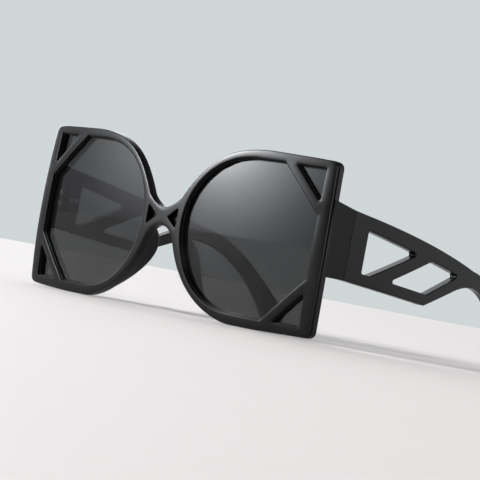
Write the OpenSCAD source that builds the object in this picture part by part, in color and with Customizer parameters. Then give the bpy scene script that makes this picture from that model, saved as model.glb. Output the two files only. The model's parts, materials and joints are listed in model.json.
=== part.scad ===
// Oversized butterfly sunglasses with cut-out corners and cut-out folding temples.
// The front faces -Y, the temples run back along +Y and Z is up. The glasses stand
// on the bottom of both rims and on both temple tips. Left and right are the wearer's,
// so the left side is at +X. Inside the modules Y starts at the foremost point of the
// face, and the last lines move the whole to the middle of its length.

/* [Front] */
// Width of the front at its widest
front_w = 152.2; // [147:0.2:158]
// Height of the front
front_h = 67.8; // [65:0.2:71]
// Radius of the spherical front face
face_r = 390; // [320:10:600]
// Height at which the face comes furthest forward
face_z = 39.5; // [30:0.5:45]
// Thickness of the front plate
plate_t = 1; // [0.8:0.1:1.2]
// Thickness of the whole front
front_t = 4.3; // [4.2:0.1:5]
// Radius of the four outer corners
corner_r = 3; // [1.5:0.5:4]
// How far the outer sides bow out between the corners
side_bow = 1.3; // [0.5:0.1:3]
// How far the top edge falls towards the outer corners
top_fall = 0.4; // [0.2:0.1:1]
// How far the bottom edge rises towards the outer corners
bottom_rise = 0.8; // [0.4:0.1:1.5]
// Width of the bevels round the front, its openings and the temples
bevel_w = 0.4; // [0.2:0.05:0.5]
// Width of the shadow groove between the front plate and the rear frame
groove_w = 0.4; // [0.3:0.05:0.6]
// Depth of the shadow groove
groove_d = 0.5; // [0.3:0.1:0.8]
// Glue line between the front plate and the rear frame
glue_gap = 0.05; // [0.04:0.01:0.1]

/* [Rims and bridge] */
// Width of the rim above the lens
rim_top = 3.5; // [3:0.1:4.5]
// Width of the rim below the lens
rim_bottom = 4.1; // [3.2:0.1:5]
// Width of the rim at the outer side of the lens
rim_side = 5.3; // [4.8:0.1:6]
// Width of the bar between a lens and its corner cut-out
bar_w = 3.5; // [3:0.1:4.5]
// How far a corner cut-out stays inside the lines of the lens opening
cut_inset = 0.1; // [0:0.1:0.6]
// How far the rear frame's openings stay inside those of the front plate
ledge = 0.4; // [0.2:0.1:0.5]
// Corner radius of the openings in the front
cut_r = 0.7; // [0.4:0.1:1.2]
// Width of the bridge between the two lens openings
bridge_w = 20.9; // [20:0.1:23]
// Height of the bottom of the notch above the bridge
notch_z = 39.5; // [38.5:0.5:41]
// Height of the top of the nose arch
arch_z = 33; // [31:0.5:34]
// Height of the middle of the bridge recesses
recess_z = 36.5; // [36:0.1:37]
// Height of the bridge recesses
recess_h = 8.2; // [5:0.1:9]
// Distance between the inner points of the two bridge recesses
recess_gap = 5.8; // [4:0.1:6.4]
// Width of each bridge recess
recess_w = 5; // [3:0.1:5.2]
// Depth of the bridge recesses
recess_d = 2.6; // [2:0.1:3]

/* [Lenses] */
// Thickness of a lens
lens_t = 1; // [0.8:0.1:1.1]
// Depth of the lens behind the front face
lens_d = 2.8; // [2.6:0.1:2.9]
// How deep the lens groove goes into the rim
seat_d = 0.7; // [0.5:0.1:1]
// Clearance round a lens in its groove
lens_fit = 0.06; // [0.03:0.01:0.1]

/* [Nose pads] */
// How far the moulded pads stand out behind the rear face
pad_d = 8.2; // [4:0.2:10]
// How far a pad leans away from the nose at its back edge
pad_flare = 1.2; // [0.4:0.1:2]
// Thickness of a pad where it meets the rim
pad_root = 2.8; // [2.2:0.1:3]
// Thickness of a pad at its back edge
pad_edge = 2; // [1.4:0.1:2.4]

/* [Temples] */
// Length of a temple from the seam to the end of its tip
temple_len = 143.5; // [135:0.5:150]
// Thickness of a temple
temple_t = 4; // [3.6:0.1:4.6]
// Height of the temple's upper edge at the seam
temple_top = 51; // [49:0.5:53]
// Height of the temple's lower edge at the seam
temple_foot = 24.4; // [23:0.2:26]
// Angle at which the open temple splays outwards
splay = 4.94; // [2:0.1:7]
// Radius of the inward curve of the temple
temple_r = 330; // [260:10:600]
// Straight length before that curve starts
straight_len = 10.4; // [10:0.1:16]
// Length of the end piece behind the front, back to the seam
end_len = 8.1; // [7.9:0.1:10]
// How far the end pieces stand outside the front's sides at the seam
seam_out = 2.3; // [1.6:0.1:3]
// Gap at the seam between the end piece and the temple
seam_gap = 0.25; // [0.2:0.05:0.4]
// Height of the end piece's upper edge where it leaves the front
end_top = 52.8; // [51:0.1:55]
// How far the end piece's outer face starts inside the front's side
end_inset = 0.3; // [0.2:0.1:1]
// Width of the rail above the temple's cut-outs
rail_top = 4.9; // [4:0.1:6]
// Width of the rail below the temple's cut-outs
rail_foot = 4.5; // [3.6:0.1:5.4]
// Distance from the seam to the first cut-out
window_y = 10; // [9.6:0.1:12]
// Distance from the seam to the foot of the diagonal strut
strut_y = 14.9; // [14:0.1:18]
// Angle of the diagonal strut
strut_a = 23.3; // [21:0.1:25]
// Width of the diagonal strut between the two cut-outs
strut_w = 5.4; // [4:0.1:7]
// Corner radius of the temple's cut-outs
slot_r = 0.8; // [0.4:0.1:1.4]
// Radius of the knee under the second cut-out
knee_r = 3; // [1:0.5:6]
// Radius of the rounded temple tip
tip_r = 4; // [3:0.1:4.4]

/* [Hinges] */
// Height of a hinge
hinge_h = 9; // [8.4:0.2:10]
// Thickness of a hinge leaf
leaf_t = 0.8; // [0.6:0.05:1]
// Length of the leaf on the end piece
front_leaf_len = 5.6; // [5.2:0.1:5.8]
// Length of the leaf on the temple
temple_leaf_len = 8.4; // [8:0.1:9]
// Radius of the hinge barrel
barrel_r = 1.2; // [1.1:0.05:1.3]
// Clearance between the barrel and what it turns against
barrel_gap = 0.3; // [0.25:0.05:0.4]
// Height of the middle knuckle
knuckle_h = 2.8; // [2:0.1:3.4]
// Gap between two knuckles
knuckle_gap = 0.1; // [0.05:0.05:0.2]
// Radius of the pivot screw
pivot_r = 0.68; // [0.5:0.01:0.75]
// Radial clearance of the pivot screw in its bores
pivot_fit = 0.04; // [0.02:0.01:0.06]
// Radius of the pivot screw's head
pivot_head_r = 1.1; // [1:0.05:1.15]
// Height of the pivot screw's head
pivot_head_h = 0.6; // [0.5:0.05:0.8]
// Width of the slots in the screw heads
driver_w = 0.3; // [0.2:0.05:0.4]
// Depth of the slots in the screw heads
driver_d = 0.25; // [0.15:0.05:0.35]
// Radius of the small screws that hold the leaves
leaf_screw_r = 0.5; // [0.4:0.02:0.55]
// Head radius of those screws
leaf_head_r = 0.9; // [0.8:0.05:1]
// Height of the straight rim of their heads
leaf_head_h = 0.2; // [0.1:0.05:0.25]
// Length of those screws
leaf_screw_len = 3.2; // [2.4:0.1:3.6]
// Distance between the two screws of the front leaf
front_screw_pitch = 4.6; // [4:0.1:5.4]
// Distance between the two screws of the temple leaf
temple_screw_pitch = 3.2; // [2.8:0.1:3.4]
// Clearance of a leaf screw in its hole
screw_fit = 0.03; // [0.02:0.01:0.05]

/* [Hidden] */
$fn = 64;
face_fn = 360;
curve_steps = 18;
short_steps = 6;
// One overrun for every cut
over = 1;

half_w = front_w / 2;
end_out_x = half_w + seam_out;
end_in_x = end_out_x - temple_t;
lens_in_x = bridge_w / 2;
lens_out_x = half_w - rim_side;
lens_w = lens_out_x - lens_in_x;
lens_top_z = front_h - rim_top;
lens_h = lens_top_z - rim_bottom;
groove_end = plate_t + groove_w;

// The pivot lies inside the inner faces of the end piece and the temple
wall_off = barrel_r + barrel_gap;
axis_x = end_in_x - wall_off;
axis_z = (temple_top + temple_foot) / 2;
middle_h = knuckle_h + 2 * knuckle_gap;
// The splayed leaf leaves the barrel clear of the end piece
leaf_start = seam_gap + wall_off * sin(splay);

// The seam follows the front's depth at the end piece
end_rear_y = face_y(end_in_x, axis_z) + front_t;
seam_y = end_rear_y + end_len;

// The tip's inner corner in the temple's own frame gives the length of the whole
tip_in = pow(temple_len - straight_len, 2) / (2 * temple_r) - wall_off;
overall_len = seam_y + temple_len * cos(splay) + tip_in * sin(splay);

// Upper edge from its flat part down to the notch: shares of half the width, and of
// the height above the bottom of the notch
upper_share = [[0.627, 1], [0.377, 1], [0.2425, 0.809], [0.1124, 0.196]];
notch_share = [[0.1124, 0.196], [0.1067, 0.169], [0.0512, 0], [0, 0]];
// Nose arch and lower edge: shares of half the width, and of the height of the arch
arch_share = [[0, 1], [0.0549, 1], [0.0824, 0.924], [0.1046, 0.7845]];
lower_share = [[0.1046, 0.7845], [0.2175, 0.0736], [0.484, 0], [0.523, 0]];
// Where the bottom edge starts to rise, and the height of the widest point
flat_share = 0.66;
wide_share = 0.45;
// Corners of the lens opening, then its round inner side above and below its innermost
// point: shares of its width and height
foot_share = [0.718, 0];
low_share = [1, 0.304];
high_share = [1, 0.7];
head_share = [0.703, 1];
lens_top_share = [[0.513, 1], [0.19, 1], [0, 0.756], [0, 0.525]];
lens_foot_share = [[0, 0.525], [0, 0.269], [0.165, 0], [0.482, 0]];
// Temple outline: shares of its length, and of the height of its upper edge
ridge_share = [[0, 1], [0.2, 0.945], [0.42, 0.862], [0.613, 0.753]];
hook_top_share = [[0.613, 0.753], [0.739, 0.7255], [0.85, 0.5], [0.978, 0.142]];
knee_share = [0.366, 0.408];
belly_share = [[0.506, 0.557], [0.599, 0.655], [0.676, 0.627], [0.76, 0.498]];
hook_foot_share = [[0.76, 0.498], [0.808, 0.416], [0.864, 0.294], [0.908, 0.098]];
tip_share = [[0.93, 0], [1.025, 0]];

function bezier(p, n) = [
    for (i = [0 : n])
        let (t = i / n)
        pow(1 - t, 3) * p[0] + 3 * pow(1 - t, 2) * t * p[1]
            + 3 * (1 - t) * t * t * p[2] + pow(t, 3) * p[3]
];
function tail(pts) = [for (i = [1 : len(pts) - 1]) pts[i]];
function inner(pts) = [for (i = [1 : len(pts) - 2]) pts[i]];
function flipped(pts) = [for (i = [len(pts) - 1 : -1 : 0]) [-pts[i][0], pts[i][1]]];
function unit(v) = v / norm(v);
function left_of(v) = [-v[1], v[0]];
function cross2(a, b) = a[0] * b[1] - a[1] * b[0];
// Meeting point of the lines p + s * u and q + s * v
function meet(p, u, q, v) = p + u * cross2(q - p, v) / cross2(u, v);

// An anticlockwise loop grown outwards by d
function grown(pts, d) = [
    for (i = [0 : len(pts) - 1])
        let (
            a = pts[(i + len(pts) - 1) % len(pts)],
            b = pts[i],
            c = pts[(i + 1) % len(pts)],
            u = unit(b - a),
            v = unit(c - b)
        )
        b - d * (left_of(u) + left_of(v)) / (1 + u * v)
];

// The corner b between a and c as an arc of radius r
function fillet(a, b, c, r, n = short_steps) =
    let (
        u = unit(a - b),
        v = unit(c - b),
        half = acos(u * v) / 2,
        centre = b + unit(u + v) * r / sin(half),
        from = b + u * r / tan(half) - centre,
        to = b + v * r / tan(half) - centre,
        turn = atan2(cross2(from, to), from * to)
    )
    [for (k = [0 : n]) let (w = turn * k / n) centre + from * cos(w) + left_of(from) * sin(w)];
function rounded(pts, r) = [
    for (i = [0 : len(pts) - 1])
        each fillet(pts[(i + len(pts) - 1) % len(pts)], pts[i], pts[(i + 1) % len(pts)], r)
];

// Outline of the front: from the nose arch round the outer side to the notch, and back
function high_at(s) = [s[0] * half_w, notch_z + s[1] * (front_h - notch_z)];
function low_at(s) = [s[0] * half_w, s[1] * arch_z];
side_r = pow(front_h * (1 - wide_share), 2) / (2 * side_bow);
function side_x(z) = half_w - pow(z - wide_share * front_h, 2) / (2 * side_r);
foot_corner = [side_x(corner_r), bottom_rise];
head_corner = [side_x(front_h - corner_r), front_h - top_fall];
side_points = [
    for (i = [1 : short_steps - 1])
        let (z = corner_r + (front_h - 2 * corner_r) * i / short_steps)
        [side_x(z), z]
];
arch_curve = bezier([for (s = arch_share) low_at(s)], short_steps);
lower_curve = bezier([for (s = lower_share) low_at(s)], curve_steps);
half_outline = concat(
    arch_curve,
    tail(lower_curve),
    [[flat_share * half_w, 0]],
    fillet([flat_share * half_w, 0], foot_corner, side_points[0], corner_r),
    side_points,
    fillet(side_points[len(side_points) - 1], head_corner, high_at(upper_share[0]), corner_r),
    bezier([for (s = upper_share) high_at(s)], curve_steps),
    tail(bezier([for (s = notch_share) high_at(s)], short_steps))
);
front_outline = concat(half_outline, inner(flipped(half_outline)));

// Lens opening on the +X side
function lens_at(s) = [lens_in_x + s[0] * lens_w, rim_bottom + s[1] * lens_h];
lens_top_curve = bezier([for (s = lens_top_share) lens_at(s)], curve_steps);
lens_foot_curve = bezier([for (s = lens_foot_share) lens_at(s)], curve_steps);
opening = concat(
    fillet(lens_foot_curve[curve_steps], lens_at(foot_share), lens_at(low_share), cut_r),
    fillet(lens_at(foot_share), lens_at(low_share), lens_at(high_share), cut_r),
    fillet(lens_at(low_share), lens_at(high_share), lens_at(head_share), cut_r),
    fillet(lens_at(high_share), lens_at(head_share), lens_top_curve[0], cut_r),
    lens_top_curve,
    tail(lens_foot_curve)
);

// Opening of the rear rim behind the bars: square at its outer corners
rim_low = [lens_out_x, rim_bottom];
rim_high = [lens_out_x, lens_top_z];
rim_opening = concat(
    fillet(lens_foot_curve[curve_steps], rim_low, rim_high, cut_r),
    fillet(rim_low, rim_high, lens_top_curve[0], cut_r),
    lens_top_curve,
    tail(lens_foot_curve)
);

// Corner cut-out beyond the side from a to b of the lens opening, out to the corner c
function corner_cut(a, b, c) =
    let (
        u = unit(b - a),
        shift = -bar_w * left_of(u)
    )
    rounded([meet(a + shift, u, c, [1, 0]), c, meet(a + shift, u, c, [0, 1])], cut_r);
cut_x = lens_out_x - cut_inset;
upper_points = corner_cut(lens_at(high_share), lens_at(head_share), [cut_x, lens_top_z - cut_inset]);
upper_cut = [for (i = [len(upper_points) - 1 : -1 : 0]) upper_points[i]];
lower_cut = corner_cut(lens_at(foot_share), lens_at(low_share), [cut_x, rim_bottom + cut_inset]);
recess = rounded([
    [recess_gap / 2, recess_z],
    [recess_gap / 2 + recess_w, recess_z - recess_h / 2],
    [recess_gap / 2 + recess_w, recess_z + recess_h / 2]
], cut_r);

// Depth of the face behind its foremost point at x and z
function face_y(x, z) = face_r - sqrt(pow(face_r, 2) - pow(x, 2) - pow(z - face_z, 2));
front_reach = 2 * face_y(half_w, 0) + front_t + over;

// Points on the sides of a closed loop, clear of its corners and no further apart than
// this step
bevel_step = temple_len / curve_steps;
function along(pts) = [
    for (i = [0 : len(pts) - 1])
        let (
            a = pts[i],
            b = pts[(i + 1) % len(pts)],
            n = ceil(norm(b - a) / bevel_step)
        )
        for (k = [0 : n - 1]) a + (b - a) * (k + 0.5) / n
];
function at_depth(pts, d) = [for (p = pts) [p[0], p[1], d]];
function turned(sides) = [sides[0], sides[2], sides[1]];

// Corner lines of the ring that bevels the edge round a loop by w: outside the loop or,
// with w below zero, inside it. The depth is counted from the bevelled face
function bevel_lines(pts, w) =
    let (
        loop = along(pts),
        d = abs(w),
        lines = [
            at_depth(grown(loop, -2 * w), -d),
            at_depth(grown(loop, w), -d),
            at_depth(grown(loop, w), 2 * d)
        ]
    )
    w > 0 ? lines : turned(lines);

// Closed ring between three corner lines
module ring(lines) {
    n = len(lines[0]);
    polyhedron(
        points = [for (line = lines) each line],
        faces = [
            for (k = [0 : 2], i = [0 : n - 1])
                let (
                    a = k * n + i,
                    b = k * n + (i + 1) % n,
                    c = (k + 1) % 3 * n + (i + 1) % n,
                    d = (k + 1) % 3 * n + i
                )
                each [[a, b, c], [a, c, d]]
        ]
    );
}

module face_bevel(loop, w) {
    ring([
        for (line = bevel_lines(loop, w))
            [for (p = line) [p[0], face_y(p[0], p[1]) + p[2], p[1]]]
    ]);
}

module rear_bevel(loop, w) {
    ring(turned([
        for (line = bevel_lines(loop, w))
            [for (p = line) [p[0], face_y(p[0], p[1]) + front_t - p[2], p[1]]]
    ]));
}

module both_sides() {
    children();
    mirror([1, 0, 0]) children();
}

// Layer of the front between two depths behind the face, with the outline of the children
module layer(d0, d1) {
    intersection() {
        translate([0, front_reach, 0]) rotate([90, 0, 0])
            linear_extrude(front_reach + over) children();
        translate([0, face_r, face_z]) difference() {
            sphere(face_r - d0, $fn = face_fn);
            sphere(face_r - d1, $fn = face_fn);
        }
    }
}

// Openings of the front, drawn in by a step
module front_holes(step) {
    both_sides() {
        polygon(grown(opening, -step));
        polygon(grown(upper_cut, -step));
        polygon(grown(lower_cut, -step));
    }
}

module front_plate() {
    color("dimgray") difference() {
        layer(0, plate_t) difference() {
            polygon(front_outline);
            front_holes(0);
            both_sides() polygon(recess);
        }
        face_bevel(front_outline, bevel_w);
        both_sides() for (hole = [opening, upper_cut, lower_cut])
            face_bevel(hole, -bevel_w);
    }
}

// Moulded nose pad: a loft along the nose side of the rim, deepest beside the nose
pad_first = short_steps / 2;
pad_last = curve_steps - 5;
pad_line = concat([for (i = [pad_first : short_steps - 1]) arch_curve[i]],
                  [for (i = [0 : pad_last]) lower_curve[i]]);
pad_sink = 0.4 * pad_edge;
pad_arc = 5;
pad_inset = 0.05 * pad_flare;
function pad_height(s) = (pad_d + pad_sink) * pow(sin(180 * sqrt(s)), 1.7) + pad_sink;
function pad_ring(i) =
    let (
        n = len(pad_line) - 1,
        a = pad_line[max(i - 1, 0)],
        c = pad_line[min(i + 1, n)],
        into = left_of(unit(c - a)),
        h = pad_height(i / n),
        mid = pad_inset + pad_flare * h / (pad_d + 2 * pad_sink) + pad_edge / 2,
        r = min(pad_edge, h) / 2,
        section = concat(
            [[pad_inset, 0]],
            [for (k = [0 : pad_arc])
                let (w = 180 * k / pad_arc)
                [mid - cos(w) * pad_edge / 2, h - r + r * sin(w)]],
            [[pad_inset + pad_root, 0]]
        ),
        y = face_y(pad_line[i][0], pad_line[i][1]) + front_t - 2 * pad_sink
    )
    [for (q = section) let (p = pad_line[i] + into * q[0]) [p[0], y + q[1], p[1]]];

module nose_pad() {
    rings = len(pad_line);
    m = pad_arc + 3;
    polyhedron(
        points = [for (i = [0 : rings - 1]) each pad_ring(i)],
        faces = concat(
            [[for (k = [0 : m - 1]) k]],
            [for (i = [0 : rings - 2], k = [0 : m - 1]) [
                i * m + k, (i + 1) * m + k, i * m + (k + 1) % m
            ]],
            [for (i = [0 : rings - 2], k = [0 : m - 1]) [
                i * m + (k + 1) % m, (i + 1) * m + k, (i + 1) * m + (k + 1) % m
            ]],
            [[for (k = [m - 1 : -1 : 0]) (rings - 1) * m + k]]
        )
    );
}

// Prism along X with an outline in Y and Z
module along_x(x0, x1) {
    translate([x0, 0, 0]) rotate([90, 0, 90]) linear_extrude(x1 - x0) children();
}

// End piece from the outer rim back to the seam
end_start_y = face_y(half_w - end_inset, axis_z) + groove_end;
end_slope = (end_top - temple_top) / end_len;
end_lean = (end_out_x - half_w + end_inset) / (seam_y - end_start_y);
function end_x(y) = end_out_x - (seam_y - y) * end_lean;
function end_z(y) = temple_top + (seam_y - y) * end_slope;

// Wedge along the end piece with its corners at offsets from its outer upper edge
module end_wedge(z0, z1, corners) {
    polyhedron(
        points = concat(
            [for (c = corners) [end_x(0) + c[0], 0, z0 + c[1]]],
            [for (c = corners) [end_x(seam_y + over) + c[0], seam_y + over, z1 + c[1]]]
        ),
        faces = [[0, 1, 2], [5, 4, 3], [0, 3, 4, 1], [1, 4, 5, 2], [2, 5, 3, 0]]
    );
}

module end_bevels() {
    w = bevel_w;
    end_wedge(end_z(0), end_z(seam_y + over), [[-2 * w, w], [w, w], [w, -2 * w]]);
    end_wedge(temple_foot, temple_foot, [[w, 2 * w], [w, -w], [-2 * w, -w]]);
}

module end_piece() {
    difference() {
        intersection() {
            linear_extrude(front_h) polygon([
                [lens_out_x + seat_d, 0],
                [end_x(0), 0],
                [end_out_x, seam_y],
                [end_in_x, seam_y],
                [end_in_x, end_rear_y + seat_d],
                [lens_out_x + seat_d, end_rear_y - seat_d / 2]
            ]);
            along_x(0, front_w) polygon([
                [0, temple_foot],
                [seam_y, temple_foot],
                [seam_y, temple_top],
                [0, end_z(0)]
            ]);
            translate([0, face_r, face_z])
                sphere(face_r - groove_end - groove_w / 3, $fn = face_fn);
        }
        end_bevels();
    }
}

module rear_frame() {
    color("dimgray") difference() {
        union() {
            difference() {
                layer(plate_t + glue_gap, front_t) difference() {
                    polygon(front_outline);
                    front_holes(ledge);
                }
                rear_bevel(front_outline, bevel_w);
            }
            both_sides() {
                end_piece();
                nose_pad();
            }
        }
        layer(-over, groove_end) difference() {
            polygon(grown(front_outline, over));
            polygon(grown(front_outline, -groove_d));
        }
        layer(-over, recess_d) both_sides() polygon(recess);
        // The lens groove; behind it the bars end and the rim is open
        layer(lens_d - lens_fit, lens_d + lens_t + lens_fit)
            both_sides() polygon(grown(rim_opening, seat_d));
        layer(lens_d + lens_t, front_t + over)
            both_sides() polygon(grown(rim_opening, -ledge));
        both_sides() on_axis() front_screws(screw_fit);
    }
}

module lens() {
    color("slategray", 0.6) layer(lens_d, lens_d + lens_t)
        polygon(grown(rim_opening, seat_d - lens_fit));
}

// Temple, in its own frame: the pivot is the origin and Y runs along the temple
function temple_at(s) = [s[0] * temple_len, s[1] * temple_top];
ridge_dir = unit(temple_at(ridge_share[3]) - temple_at(ridge_share[0]));
knee = temple_at(knee_share);
foot_dir = unit(knee - [0, temple_foot]);
strut_dir = [cos(strut_a), sin(strut_a)];
strut_side = -left_of(strut_dir);
under_ridge = [0, temple_top] - left_of(ridge_dir) * rail_top;
over_foot = [0, temple_foot] + left_of(foot_dir) * rail_foot;
strut_foot = meet(over_foot, foot_dir, [strut_y, 0], [0, 1]);
window = rounded([
    meet(over_foot, foot_dir, [window_y, 0], [0, 1]),
    strut_foot,
    meet(strut_foot, strut_dir, under_ridge, ridge_dir),
    meet(under_ridge, ridge_dir, [window_y, 0], [0, 1])
], slot_r);
// The second cut-out starts behind the strut and ends above the knee
slot_start = strut_foot + strut_side * strut_w;
slot_end = knee + left_of(foot_dir) * rail_foot;
slot = rounded([
    meet(slot_start, strut_dir, over_foot, foot_dir),
    slot_end,
    meet(slot_end, strut_dir, under_ridge, ridge_dir),
    meet(slot_start, strut_dir, under_ridge, ridge_dir)
], slot_r);
hook_foot_curve = bezier([for (s = hook_foot_share) temple_at(s)], curve_steps / 3);
hook_top_curve = bezier([for (s = hook_top_share) temple_at(s)], curve_steps);
belly_curve = bezier([for (s = belly_share) temple_at(s)], curve_steps / 2);
temple_outline = concat(
    [[-over, temple_foot]],
    fillet([0, temple_foot], knee, belly_curve[0], knee_r),
    belly_curve,
    tail(hook_foot_curve),
    fillet(temple_at(hook_foot_share[3]), temple_at(tip_share[0]), temple_at(tip_share[1]), tip_r / 2),
    fillet(temple_at(tip_share[0]), temple_at(tip_share[1]), temple_at(hook_top_share[3]), tip_r),
    [for (i = [curve_steps : -1 : 1]) hook_top_curve[i]],
    [for (i = [curve_steps / 2 : -1 : 0])
        bezier([for (s = ridge_share) temple_at(s)], curve_steps / 2)[i]],
    [[-over, temple_top]]
);

function temple_x(y) = wall_off + temple_t - pow(max(y - straight_len, 0), 2) / (2 * temple_r);
temple_stations = [
    -2 * over,
    for (i = [0 : 2 * curve_steps])
        straight_len + (temple_len + over - straight_len) * i / (2 * curve_steps)
];
temple_plan = concat(
    [for (y = temple_stations) [temple_x(y), y]],
    [for (i = [len(temple_stations) - 1 : -1 : 0])
        [temple_x(temple_stations[i]) - temple_t, temple_stations[i]]]
);

// Bevels round a loop of the temple, at its outer and its inner face
module temple_bevels(loop, w) {
    lines = bevel_lines(loop, w);
    ring([for (line = lines) [for (p = line) [temple_x(p[0]) - p[2], p[0], p[1]]]]);
    ring(turned([
        for (line = lines) [for (p = line) [temple_x(p[0]) - temple_t + p[2], p[0], p[1]]]
    ]));
}

// Moves a piece from the pivot's frame to its place beside the left end piece
module on_axis() {
    translate([axis_x, seam_y, 0]) children();
}

module temple() {
    color("dimgray") on_axis() difference() {
        rotate([0, 0, -splay]) difference() {
            intersection() {
                linear_extrude(temple_top + over) polygon(temple_plan);
                along_x(-temple_len, temple_len) difference() {
                    polygon(temple_outline);
                    polygon(window);
                    polygon(slot);
                }
            }
            temple_bevels(temple_outline, bevel_w);
            temple_bevels(window, -bevel_w);
            temple_bevels(slot, -bevel_w);
            temple_screws(screw_fit);
        }
        translate([-half_w, seam_gap - seam_y, 0])
            cube([front_w, seam_y, temple_top + over]);
    }
}

// Hinge leaf against a wall at x = wall_off, from y0 to y1
module leaf_plate(y0, y1) {
    translate([wall_off - leaf_t, y0, axis_z - hinge_h / 2]) cube([leaf_t, y1 - y0, hinge_h]);
}

module middle_zone(r) {
    translate([0, 0, axis_z - middle_h / 2]) cylinder(r = r, h = middle_h);
}

module pivot_bore(r) {
    translate([0, 0, axis_z - hinge_h / 2 - over]) cylinder(r = r, h = hinge_h + 2 * over);
}

module front_hinge_leaf() {
    color("silver") on_axis() difference() {
        union() {
            leaf_plate(-front_leaf_len, 0);
            translate([0, 0, axis_z - hinge_h / 2]) cylinder(r = barrel_r, h = hinge_h);
        }
        middle_zone(wall_off + barrel_gap / 2);
        pivot_bore(pivot_r + pivot_fit);
        front_screws(screw_fit);
    }
}

module temple_hinge_leaf() {
    color("silver") on_axis() rotate([0, 0, -splay]) difference() {
        union() {
            leaf_plate(wall_off + barrel_gap, temple_leaf_len);
            translate([0, 0, axis_z - knuckle_h / 2]) {
                cylinder(r = barrel_r, h = knuckle_h);
                translate([wall_off - leaf_t, leaf_start, 0])
                    cube([leaf_t, wall_off + barrel_gap, knuckle_h]);
            }
        }
        pivot_bore(pivot_r + pivot_fit);
        temple_screws(screw_fit);
    }
}

module driver_slot(r) {
    translate([-r - over, -driver_w / 2, -driver_d]) cube([2 * r + 2 * over, driver_w, driver_d + over]);
}

module pivot_screw() {
    color("gainsboro") on_axis() translate([0, 0, axis_z + hinge_h / 2]) difference() {
        union() {
            cylinder(r = pivot_head_r, h = pivot_head_h);
            translate([0, 0, -hinge_h]) cylinder(r = pivot_r, h = hinge_h + pivot_head_h / 2);
        }
        translate([0, 0, pivot_head_h]) driver_slot(pivot_head_r);
    }
}

// Countersunk screw along +X with its head flush in the leaf; grow widens it for its hole
module leaf_screw(grow) {
    translate([wall_off - leaf_t, 0, 0]) rotate([0, 90, 0]) difference() {
        union() {
            translate([0, 0, -grow]) cylinder(r = leaf_head_r + grow, h = leaf_head_h + grow);
            translate([0, 0, leaf_head_h])
                cylinder(r1 = leaf_head_r + grow, r2 = leaf_screw_r + grow, h = leaf_head_r - leaf_screw_r);
            cylinder(r = leaf_screw_r + grow, h = leaf_screw_len + grow);
        }
        if (grow == 0) mirror([0, 0, 1]) driver_slot(leaf_head_r);
    }
}

module front_screws(grow = 0) {
    for (side = [-1, 1])
        translate([0, -front_leaf_len + 2 * leaf_head_r, axis_z + side * front_screw_pitch / 2])
            leaf_screw(grow);
}

module temple_screws(grow = 0) {
    for (step = [0, 1])
        translate([0, temple_leaf_len - 2 * leaf_head_r - step * temple_screw_pitch, axis_z])
            leaf_screw(grow);
}

module front_leaf_screws() {
    color("gainsboro") on_axis() front_screws();
}

module temple_leaf_screws() {
    color("gainsboro") on_axis() rotate([0, 0, -splay]) temple_screws();
}

module whole(side) {
    translate([0, -overall_len / 2, 0]) mirror([side == "right" ? 1 : 0, 0, 0]) children();
}

whole("left") front_plate();
whole("left") rear_frame();
whole("left") lens();  // lens_left
whole("right") lens();  // lens_right
whole("left") temple();  // temple_left
whole("right") temple();  // temple_right
whole("left") front_hinge_leaf();  // front_hinge_leaf_left
whole("right") front_hinge_leaf();  // front_hinge_leaf_right
whole("left") temple_hinge_leaf();  // temple_hinge_leaf_left
whole("right") temple_hinge_leaf();  // temple_hinge_leaf_right
whole("left") pivot_screw();  // pivot_screw_left
whole("right") pivot_screw();  // pivot_screw_right
whole("left") front_leaf_screws();  // front_leaf_screws_left
whole("right") front_leaf_screws();  // front_leaf_screws_right
whole("left") temple_leaf_screws();  // temple_leaf_screws_left
whole("right") temple_leaf_screws();  // temple_leaf_screws_right
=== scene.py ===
"""Oversized butterfly sunglasses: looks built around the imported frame."""
import json
import math

import bmesh
import bpy
import numpy as np
from mathutils import Matrix, Vector
from mathutils.geometry import delaunay_2d_cdt


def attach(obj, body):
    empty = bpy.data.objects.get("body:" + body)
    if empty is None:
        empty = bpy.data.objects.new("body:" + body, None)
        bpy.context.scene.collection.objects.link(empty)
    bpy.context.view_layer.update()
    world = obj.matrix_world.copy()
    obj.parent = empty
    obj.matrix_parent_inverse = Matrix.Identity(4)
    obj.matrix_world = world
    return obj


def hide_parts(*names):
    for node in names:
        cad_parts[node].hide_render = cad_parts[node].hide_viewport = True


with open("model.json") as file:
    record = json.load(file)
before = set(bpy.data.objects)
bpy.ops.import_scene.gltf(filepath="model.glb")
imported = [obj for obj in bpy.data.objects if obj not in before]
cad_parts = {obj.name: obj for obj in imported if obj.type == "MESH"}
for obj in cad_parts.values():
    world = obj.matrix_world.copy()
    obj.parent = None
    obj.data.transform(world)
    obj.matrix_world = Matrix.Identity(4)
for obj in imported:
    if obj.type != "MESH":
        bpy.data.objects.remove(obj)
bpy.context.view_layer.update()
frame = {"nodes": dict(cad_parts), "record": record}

MM = 0.001

# Sizes in millimetres, with the names and values of the CAD source. CUT_R and SEAM_GAP are
# smaller here. Y is counted from the foremost point of the face.

# Front
FRONT_W = 152.2
FRONT_H = 67.8
FACE_R = 390
FACE_Z = 39.5
PLATE_T = 1
FRONT_T = 4.3
CORNER_R = 3
SIDE_BOW = 1.3
TOP_FALL = 0.4
BOTTOM_RISE = 0.8
GROOVE_W = 0.4
GROOVE_D = 0.5
GLUE_GAP = 0.05
RIM_TOP = 3.5
RIM_BOTTOM = 4.1
RIM_SIDE = 5.3
BAR_W = 3.5
CUT_INSET = 0.1
LEDGE = 0.4
CUT_R = 0.5
BRIDGE_W = 20.9
NOTCH_Z = 39.5
ARCH_Z = 33
RECESS_Z = 36.5
RECESS_H = 8.2
RECESS_GAP = 5.8
RECESS_W = 5
RECESS_D = 2.6
LENS_T = 1
LENS_D = 2.8
SEAT_D = 0.7
LENS_FIT = 0.06

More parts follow.
